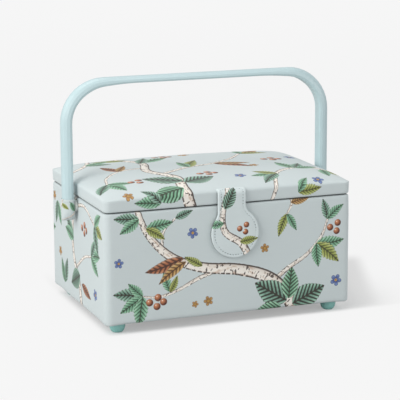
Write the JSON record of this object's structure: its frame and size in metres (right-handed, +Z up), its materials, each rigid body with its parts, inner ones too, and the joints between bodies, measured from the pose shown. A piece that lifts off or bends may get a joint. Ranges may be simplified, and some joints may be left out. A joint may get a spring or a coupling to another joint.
{
  "type": "sewing basket",
  "caption": "Cloth-covered sewing basket with a padded hinged lid, a magnetic keyhole flap, a swinging D-section handle, dome feet and a lift-out compartment tray.",
  "frame": {"origin": "middle of the overall width and depth, on the plane that the feet stand on", "axes": "+X to the right along the longest extent, -Y to the front where the flap hangs, +Z up"},
  "size_m": [0.2914, 0.193, 0.2407],
  "materials": {
    "printed_cloth": "duck-egg cotton with a printed branch and leaf pattern",
    "lining_cloth": "plain off-white cotton lining",
    "board": "medium-density fibreboard",
    "foam": "soft polyester wadding",
    "handle_plastic": "satin moulded plastic, pale aqua",
    "foot_plastic": "satin moulded plastic, teal",
    "tray_plastic": "satin moulded plastic, white",
    "plated_steel": "nickel-plated steel",
    "magnet": "sintered magnet, dull plated",
    "card": "stiff card",
    "elastic": "woven elastic band",
    "washer_plastic": "moulded plastic"
  },
  "bodies": {
    "body": {"front_board": "board", "back_board": "board", "left_board": "board", "right_board": "board", "base_board": "board", "body_cover": "printed_cloth", "base_cloth": "lining_cloth", "body_lining": "lining_cloth", "tray_ledge_left": "lining_cloth", "tray_ledge_right": "lining_cloth", "foot_front_left": "foot_plastic", "foot_front_right": "foot_plastic", "foot_back_left": "foot_plastic", "foot_back_right": "foot_plastic", "foot_screw_front_left": "plated_steel", "foot_screw_front_right": "plated_steel", "foot_screw_back_left": "plated_steel", "foot_screw_back_right": "plated_steel", "catch_plate": "plated_steel", "handle_bolt_left": "plated_steel", "handle_bolt_right": "plated_steel", "handle_nut_left": "plated_steel", "handle_nut_right": "plated_steel", "hinge_left_body_leaf": "plated_steel", "hinge_right_body_leaf": "plated_steel", "hinge_left_pin": "plated_steel", "hinge_right_pin": "plated_steel", "hinge_left_body_screw_1": "plated_steel", "hinge_left_body_screw_2": "plated_steel", "hinge_right_body_screw_1": "plated_steel", "hinge_right_body_screw_2": "plated_steel", "handle_washer_left": "washer_plastic", "handle_washer_right": "washer_plastic"},
    "lid": {"lid_board": "board", "lid_front_rim": "board", "lid_back_rim": "board", "lid_left_rim": "board", "lid_right_rim": "board", "lid_pad": "foam", "lid_cover": "printed_cloth", "pincushion": "printed_cloth", "flap_anchor": "printed_cloth", "lid_lining": "lining_cloth", "lid_pocket": "lining_cloth", "pocket_elastic": "elastic", "hinge_left_lid_leaf": "plated_steel", "hinge_right_lid_leaf": "plated_steel", "hinge_left_lid_screw_1": "plated_steel", "hinge_left_lid_screw_2": "plated_steel", "hinge_right_lid_screw_1": "plated_steel", "hinge_right_lid_screw_2": "plated_steel"},
    "flap": {"flap_facing": "printed_cloth", "flap_backing": "printed_cloth", "flap_stiffener": "card", "flap_magnet": "magnet"},
    "handle": {"handle": "handle_plastic", "handle_sleeve_left": "printed_cloth", "handle_sleeve_right": "printed_cloth"},
    "tray": {"tray": "tray_plastic"}
  },
  "joints": [
    {"name": "lid_open", "type": "hinge", "parent": "body", "child": "lid", "pos_m": [0, 0.0946, 0.1218], "axis": [-1, 0, 0], "range_deg": [0, 35]},
    {"name": "flap_lift", "type": "hinge", "parent": "lid", "child": "flap", "pos_m": [0, -0.0965, 0.1337], "axis": [-1, 0, 0], "range_deg": [0, 100]},
    {"name": "handle_swing", "type": "hinge", "parent": "body", "child": "handle", "pos_m": [0, -0.0001, 0.1127], "axis": [1, 0, 0], "range_deg": [-111, 111]},
    {"name": "tray_lift", "type": "slide", "parent": "body", "child": "tray", "axis": [0, 0, 1], "range_m": [0, 0.013]}
  ]
}
